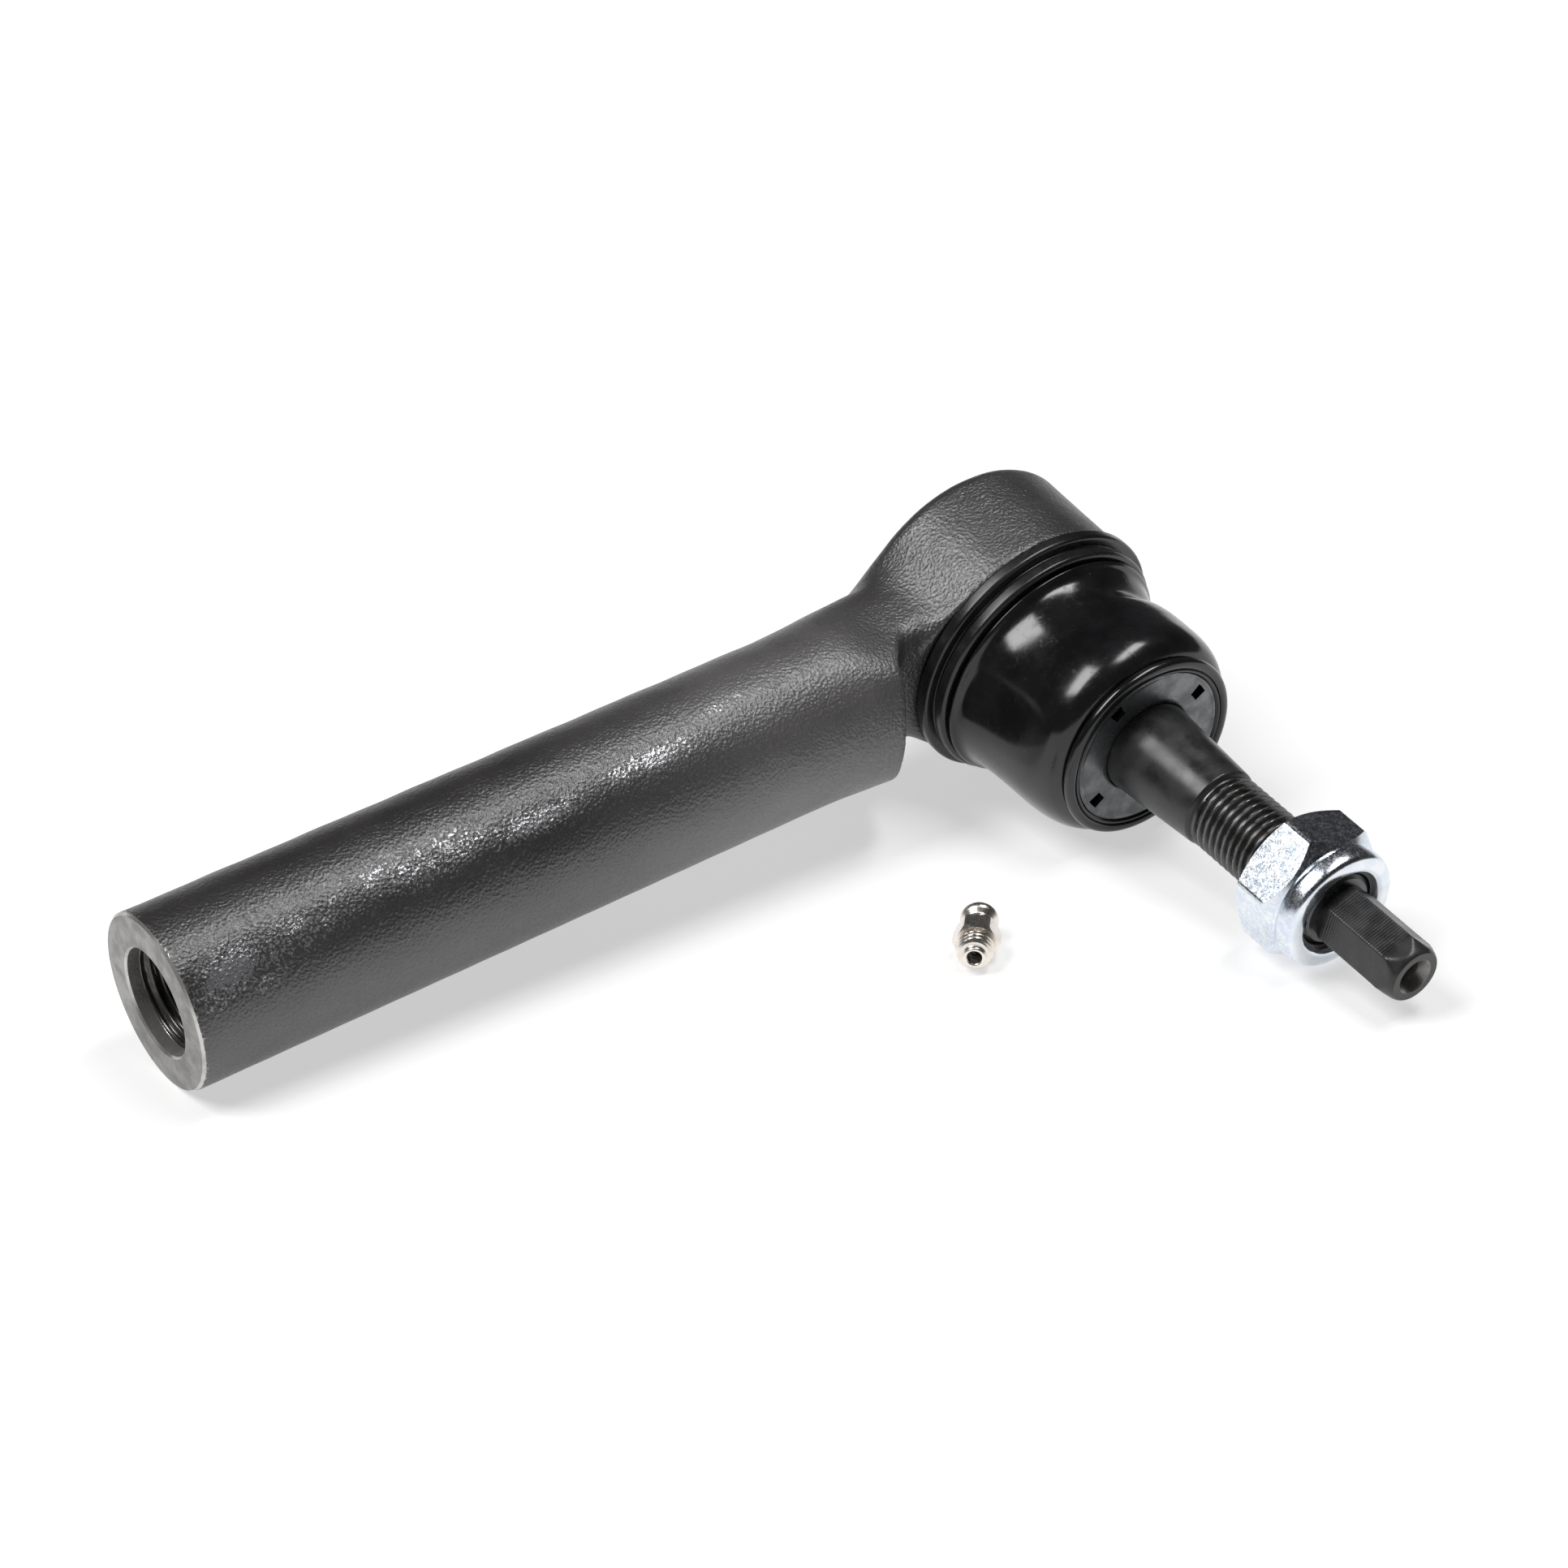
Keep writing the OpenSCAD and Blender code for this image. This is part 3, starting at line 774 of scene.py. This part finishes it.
def leaning(p):
    """Each point's share of the stud's lean grows smoothly from the base to the lip; the point
    is turned by that share of the nod, about x, and then of the swing, about z."""
    share = smooth((p[..., 2] - BOOT_BASE) / (BOOT_LIP - BOOT_BASE))
    x, y, z = p[..., 0], -p[..., 2], p[..., 1]
    c, s = np.cos(NOD * share), np.sin(NOD * share)
    y, z = y * c - z * s, y * s + z * c
    c, s = np.cos(SWING * share), np.sin(SWING * share)
    x, y = x * c - y * s, x * s + y * c
    return on_housing(np.stack([x, y, z], -1))


def boot_wall(low, high, tuck):
    """Boot profile between two heights, closed round its wall. Past the seam the outside goes on
    for 1 mm under the other half, drawn in by the square of the distance. Tuck is 1 where that
    end is the high one and -1 where it is the low one."""
    side = np.concatenate([boot_side, boot_rim[1:]])
    over = np.where(tuck > 0, side[:, 1] - high, low - side[:, 1])
    lowest = low - 1.0 if tuck < 0 else low
    highest = high + 1.0 if tuck > 0 else high
    keep = (side[:, 1] > lowest) & (side[:, 1] < highest)
    side[:, 0] -= 0.12 * np.clip(over, 0, 1) ** 2 * (np.abs(side[:, 1] - SEAM) < 1.2)
    outside = side[keep]
    heights = np.linspace(outside[-1, 1], outside[0, 1], 24)
    body = boot_side[::-1]
    radius = np.interp(-heights, -body[:, 1], body[:, 0]) - BOOT_WALL
    inside = np.stack([np.clip(radius, 14.62, 19.6), heights], -1)
    return np.concatenate([outside, inside])


def pinched(grid):
    """Draws the wall in by up to 1.5 mm round one side near the base, as bell curves of angle
    and height, with a fainter swelling above it."""
    angle = np.arctan2(grid[..., 1], grid[..., 0])
    z = grid[..., 2]
    dent = 1.5 * np.exp(-((z - DENT_AT) / 2.9) ** 2)
    swelling = 0.25 * np.exp(-((z - SWELL_AT) / 3.5) ** 2)
    drawn = np.exp(-((angle - DENT_ANGLE) / 0.42) ** 2) * (dent - swelling)
    scale = 1 - drawn / np.maximum(np.hypot(grid[..., 0], grid[..., 1]), 1)
    return np.stack([grid[..., 0] * scale, grid[..., 1] * scale, z], -1)


def boot_half(name, profile):
    return finished(solid_grid(name, pinched(turned(profile, 160)), leaning, True), 55)


lower = piece("boot_lower", boot_half("boot_lower", boot_wall(BOOT_BASE - 0.1, SEAM, 1)),
              boot_rubber, None, ["boot"])
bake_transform(lower)
upper = piece("boot_upper", boot_half("boot_upper", boot_wall(SEAM, 45, -1)),
              boot_rubber, None, ["boot"])
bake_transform(upper)

# ---------------------------------------------------------------- ball stud
HEX = TAU / 6
THREAD_R = 6.98
THREAD_DEPTH = 0.9
THREAD_NEAR, THREAD_FAR = 58.15, 87.0
DRIVE_TURN = math.radians(19)
DRIVE_AF = 10.0
STUD_END = 105.5


def hex_radius(a, flats, corner):
    """Distance to a hexagon's side at each angle, its corners cut back to the corner radius."""
    within = (a + HEX / 2) % HEX - HEX / 2
    across = flats / 2 / np.cos(HEX / 2 - np.abs(within))
    return np.minimum(across, corner)


def ball_stud():
    """One grid round the stud's axis: radius as a function of height and angle. The ball's
    flat back, neck and taper are turned, the thread follows a helix, and the end is a hexagon
    cut back by the end's cone."""
    per = np.concatenate([[0.9], np.arange(3.0, 57.6, 2.7), [59.1]])
    a = np.radians((per[None, :] + 60 * np.arange(6)[:, None]).ravel())
    flat_back, ball_r = 9.3, 13.5
    polar = np.linspace(math.acos(flat_back / ball_r), math.pi - math.asin(7.6 / ball_r), 40)
    ball = np.stack([ball_r * np.sin(polar), -ball_r * np.cos(polar)], -1)
    shank = rounded([[7.6, ball[-1, 1]], [7.6, 22], [8.469, 30], [8.469, 38], [7.25, 57.1],
                     [7.0, 57.45], [6.5, 57.75], [6.45, 58.1]],
                    [0.1, 3, 2, 2, 0.3, 0.3, 0.15], 6)[1:]
    flat = [[0, -flat_back], [4.0, -flat_back], [8.6, -flat_back]]
    turned_part = np.concatenate([flat, ball, shank])
    z = np.arange(THREAD_NEAR, THREAD_FAR, PITCH / 14)
    crest = THREAD_R - np.maximum(z - 86.1, 0) - 0.5 * (1 - smooth((z - 58.1) / 0.5))
    form = THREAD_R - THREAD_DEPTH + thread_form(helix_rows(z, a, PITCH), THREAD_DEPTH)
    thread = ring_surface(z, np.maximum(np.minimum(form, crest[:, None]), 5.95), a)
    z = np.concatenate([[87.05, 87.35, 87.65, 88.1, 88.6], np.arange(89.0, 102.0, 0.125),
                        [102.1, 102.6, 103.1, 103.6, 104.1, 104.6, 105.0, 105.3, STUD_END]])
    start_cone = np.where(z < 87.7, 5.1, 5.1 + (z - 87.7) * 0.9)
    end_cone = 5.9 - (z - 102.1) / 3.4 * 1.2 - np.maximum(z - 105.2, 0) * 0.6
    limit = np.minimum(start_cone, np.where(z > 102.1, end_cone, 5.9))
    rib = 0.028 * (1 + np.sin(z * TAU / 0.5)) * smooth((z - 89) / 0.6) * smooth((102 - z) / 0.6)
    radius = np.minimum(hex_radius(a, DRIVE_AF, 5.73)[None, :] - rib[:, None], limit[:, None])
    drive = ring_surface(z, radius, a)
    hole = turned(np.array([[4.45, STUD_END], [3.25, 105.48], [3.0, 105.3], [2.0, 104.0],
                            [1.85, 103.6], [1.8, 102.6], [0, 101.9]]), a)
    grid = np.concatenate([turned(turned_part, a), thread, drive, hole])
    c, q = math.cos(DRIVE_TURN), math.sin(DRIVE_TURN)
    grid = grid @ np.array([[c, q, 0], [-q, c, 0], [0, 0, 1]])
    return finished(solid_grid("ball_stud_skin", grid, on_stud), 30)


stud = piece("ball_stud_skin", ball_stud(), [stud_oxide, thread_oxide, mouth_steel],
             "stud", ["ball_stud"])
OXIDE, THREAD, RECESS = range(3)
RECESS_R = 3.2
x, y, z = in_axes(stud.data.polygons, "center", STUD).T
part = np.where((z > 58.0) & (z < 87.2), THREAD, OXIDE).astype(np.int32)
part[(np.hypot(x, y) < RECESS_R) & (z > 100)] = RECESS
stud.data.polygons.foreach_set("material_index", part)
x, y, z = in_axes(stud.data.vertices, "co", STUD).T
above_root = (np.hypot(x, y) - THREAD_R + THREAD_DEPTH) / THREAD_DEPTH
point_value("crest", stud.data, np.clip(above_root, 0, 1))

# ---------------------------------------------------------------- lock nut
NUT_NEAR, NUT_HEX_H, NUT_AF = 74.6, 9.2, 22.0
NUT_FACE_R = 10.55
NUT_TURN = math.radians(75)
# How far the two chamfers drop for each millimetre of radius: 30 degrees, and about 45
NEAR_DROP, FAR_DROP = math.tan(math.radians(30)), 1.02


def lock_nut():
    """A grid round the axis. The hexagon's ends are cut by cones, 30 degrees at the near end
    and about 45 at the collar, and the rows follow the curve where cone and flat meet: at each
    angle the flat runs between the two heights at which the cones reach the flat's radius."""
    per = np.concatenate([np.linspace(0, 26, 14), [27.4, 28.4, 29.0, 29.4, 29.7]])
    sector = np.radians(np.concatenate([-per[::-1][:-1], per, [30.0]]))
    a = (NUT_TURN + sector[None, :] + HEX * np.arange(6)[:, None]).ravel()
    apothem = NUT_AF / 2
    flat = np.minimum(apothem / np.cos(np.tile(sector, 6)), apothem / math.cos(HEX / 2) - 0.18)
    beyond = flat - NUT_FACE_R
    low = np.maximum(beyond * NEAR_DROP, 0.02)
    high = np.maximum(beyond * FAR_DROP, 0.03)
    rows = []
    for r, z in ((7.05, 1.0), (7.05, 0.7), (7.75, 0.0), (NUT_FACE_R - 0.25, 0.0)):
        rows.append((np.full_like(a, r), np.full_like(a, z)))
    for t in (0.0, 0.25, 0.5, 0.75, 1.0):
        rows.append((NUT_FACE_R + beyond * t, 0.02 + (low - 0.02) * t))
    for t in (0.12, 0.5, 0.88, 1.0):
        rows.append((flat, low + (NUT_HEX_H - low - high) * t))
    for t in (0.75, 0.5, 0.25, 0.0):
        rows.append((NUT_FACE_R + beyond * t, NUT_HEX_H - high * t))
    collar = rounded([[10.5, 9.2], [10.35, 9.25], [10.75, 9.6], [10.98, 10.2], [10.98, 11.6],
                      [10.7, 12.9], [9.6, 13.38], [8.4, 13.38], [7.75, 13.0], [7.7, 12.0],
                      [7.72, 11.92], [8.56, 11.9], [8.56, 8.92], [7.05, 8.9], [7.05, 1.0]],
                     [0, 0.1, 0.3, 0.6, 0.8, 1.0, 0.8, 0.5, 0.4, 0, 0, 0, 0, 0], 5)
    for r, z in collar[1:-1]:
        rows.append((np.full_like(a, r), np.full_like(a, z)))
    r = np.stack([row[0] for row in rows])
    z = np.stack([row[1] for row in rows]) + NUT_NEAR
    grid = np.stack([r * np.cos(a), r * np.sin(a), z], -1)
    return finished(solid_grid("lock_nut_skin", grid, on_stud, True), 28)


nut = piece("lock_nut_skin", lock_nut(), zinc, "nut", ["lock_nut"])
x, y, z = in_axes(nut.data.vertices, "co", STUD).T
point_value("coarse", nut.data, smooth((np.hypot(x, y) - 10.4) / 0.4))


# ---------------------------------------------------------------- grease fitting
FITTING_R = 3.0
FITTING_PITCH = 1.0
FITTING_DEPTH = 0.62
FITTING_AF = 7.0
FITTING_CORNER = 3.98
HEX_BASE, HEX_HIGH = 3.3, 3.6
HEX_FACE_R = 3.4


def grease_fitting():
    """Turned nose, M6 thread, 7 mm hexagon, waist and ball-shaped head, as one grid round the
    axis, and the bore back down through it."""
    per = np.concatenate([[1.2], np.arange(4.0, 57.0, 4.0), [58.8]])
    a = np.radians((per[None, :] + 60 * np.arange(6)[:, None]).ravel() + 30)
    nose = rounded([[1.2, 2.0], [1.2, -0.6], [1.4, -0.78], [1.72, -0.78], [1.9, -0.55], [1.92, 0.02],
                    [2.55, 0.06]], [0.1, 0.1, 0.15, 0.15, 0.12], 3)
    z = np.arange(0.1, 3.0, FITTING_PITCH / 16)
    outer = FITTING_R - 0.42 * (1 - smooth((z - 0.05) / 0.42))
    form = thread_form(helix_rows(z + 0.35, a, FITTING_PITCH), FITTING_DEPTH)
    radius = np.minimum(FITTING_R - FITTING_DEPTH + form, outer[:, None])
    thread = ring_surface(z, radius, a)
    flat = hex_radius(a - math.radians(30), FITTING_AF, FITTING_CORNER)
    relief = turned(np.array([[2.5, 3.05], [2.5, 3.28], [2.9, HEX_BASE]]), a)
    beyond = flat - HEX_FACE_R
    low = np.maximum(beyond * 0.6, 0.01)
    rows = []
    for t in (0.0, 0.5, 1.0):
        rows.append((HEX_FACE_R + beyond * t, HEX_BASE + low * t))
    for t in (0.5, 1.0):
        rows.append((flat, HEX_BASE + low + (HEX_HIGH - 2 * low) * t))
    for t in (0.5, 0.0):
        rows.append((HEX_FACE_R + beyond * t, HEX_BASE + HEX_HIGH - low * t))
    r, h = (np.stack([row[k] for row in rows]) for k in (0, 1))
    hexagon = np.stack([r * np.cos(a), r * np.sin(a), h], -1)
    head = rounded([[3.3, 6.9], [3.05, 6.92], [3.02, 7.3], [2.35, 8.7], [2.3, 9.2], [3.15, 10.05],
                    [3.27, 10.7], [3.05, 11.4], [2.1, 12.7], [1.7, 13.0], [1.05, 13.0],
                    [1.0, 12.8], [1.0, 11.95], [1.45, 11.9], [1.45, 2.0], [1.2, 2.0]],
                   [0.1, 0.3, 0.5, 0.4, 0.4, 0.6, 0.7, 0.9, 0.4, 0.2, 0.1, 0, 0, 0], 5)
    grid = np.concatenate([turned(nose, a), thread, relief, hexagon, turned(head[1:-1], a)])
    return finished(solid_grid("grease_fitting_skin", grid, on_fitting, True), 30)


piece("grease_fitting_skin", grease_fitting(), nickel, "fitting", ["grease_fitting"])

# ---------------------------------------------------------------- CAD nodes that stay
for node, finish in (("preload_spring", spring_steel), ("pressure_cup", acetal),
                     ("bearing_seat", acetal), ("nylon_insert", nylon),
                     ("check_ball", polished), ("check_spring", spring_steel)):
    frame["nodes"][node].data.materials.clear()
    frame["nodes"][node].data.materials.append(finish)


# ---------------------------------------------------------------- bench, light and camera
LIT = (0.122, -0.03, 0.0)
BENCH_HALF = 3.0


def bench():
    """A white bench: a square of side 6 m at the height that the part rests on. Part of its
    white is its own glow, which keeps the shadows pale."""
    corners = np.array([(-1, -1, 0), (1, -1, 0), (1, 1, 0), (-1, 1, 0)]) * BENCH_HALF
    mesh = bpy.data.meshes.new("bench")
    mesh.from_pydata((corners + [0, 0, BENCH_Z * MM]).tolist(), [], [(0, 1, 2, 3)])
    made = loose("bench", mesh)
    white = Finish("bench_white", 0.55)
    white.shader.inputs["Base Color"].default_value = (0.55, 0.55, 0.55, 1)
    white.shader.inputs["Specular IOR Level"].default_value = 0.25
    white.shader.inputs["Emission Color"].default_value = (1, 1, 1, 1)
    white.shader.inputs["Emission Strength"].default_value = 0.56
    mesh.materials.append(white.material)


def softbox(name, way, long_way, size, glow, distance=2.0):
    """A rectangular light of even glow, seen from the part in the direction way, its long side
    along long_way: its power is glow x pi x area."""
    lamp = bpy.data.lights.new(name, "AREA")
    lamp.shape = "RECTANGLE"
    lamp.size, lamp.size_y = size
    lamp.energy = glow * math.pi * size[0] * size[1]
    made = bpy.data.objects.new(name, lamp)
    z = Vector(way).normalized()
    y = z.cross(Vector(long_way)).normalized()
    turn = Matrix((y.cross(z), y, z)).transposed()
    made.matrix_world = Matrix.Translation(Vector(LIT) + z * distance) @ turn.to_4x4()
    bpy.context.scene.collection.objects.link(made)


def studio():
    """White at the horizon and dark overhead, so that gloss stays black between the lights."""
    world = bpy.data.worlds.new("studio")
    world.use_nodes = True
    tree = world.node_tree
    place = tree.nodes.new("ShaderNodeTexCoord")
    parts = tree.nodes.new("ShaderNodeSeparateXYZ")
    ramp = tree.nodes.new("ShaderNodeMapRange")
    ramp.interpolation_type = "SMOOTHSTEP"
    for key, number in (("From Min", 0.1), ("From Max", 0.55), ("To Min", 1.2), ("To Max", 0.3)):
        ramp.inputs[key].default_value = number
    tree.links.new(place.outputs["Generated"], parts.inputs[0])
    tree.links.new(parts.outputs["Z"], ramp.inputs["Value"])
    tree.links.new(ramp.outputs["Result"], tree.nodes["Background"].inputs["Strength"])
    bpy.context.scene.world = world


bench()
studio()
softbox("overhead", (0.26, -0.1, 0.96), (0.85, 0.5, 0), (1.15, 0.45), 12.0)
softbox("left_high", (-0.55, 0.18, 0.82), (0.8, 0.1, 0.5), (1.1, 0.75), 11.0)

CAMERA_AT = Vector((-0.2210, -0.47482, 0.34508))
AZIMUTH, ELEVATION, ROLL = (math.radians(d) for d in (-35.46, 30.92, -0.87))
FOCAL_MM = 92.09
SENSOR_MM = 36
level = math.cos(ELEVATION)
back = Vector((math.sin(AZIMUTH) * level, -math.cos(AZIMUTH) * level, math.sin(ELEVATION)))
right = Vector((math.cos(AZIMUTH), math.sin(AZIMUTH), 0))
up = back.cross(right)
tilted_right = right * math.cos(ROLL) + up * math.sin(ROLL)
tilted_up = back.cross(tilted_right)
lens = bpy.data.cameras.new("camera")
lens.lens = FOCAL_MM
lens.sensor_width = SENSOR_MM
lens.clip_start = 0.01
camera = bpy.data.objects.new("camera", lens)
turn = Matrix((tilted_right, tilted_up, back)).transposed()
camera.matrix_world = Matrix.Translation(CAMERA_AT) @ turn.to_4x4()
bpy.context.scene.collection.objects.link(camera)
bpy.context.scene.camera = camera
bpy.context.scene.view_settings.view_transform = "Standard"
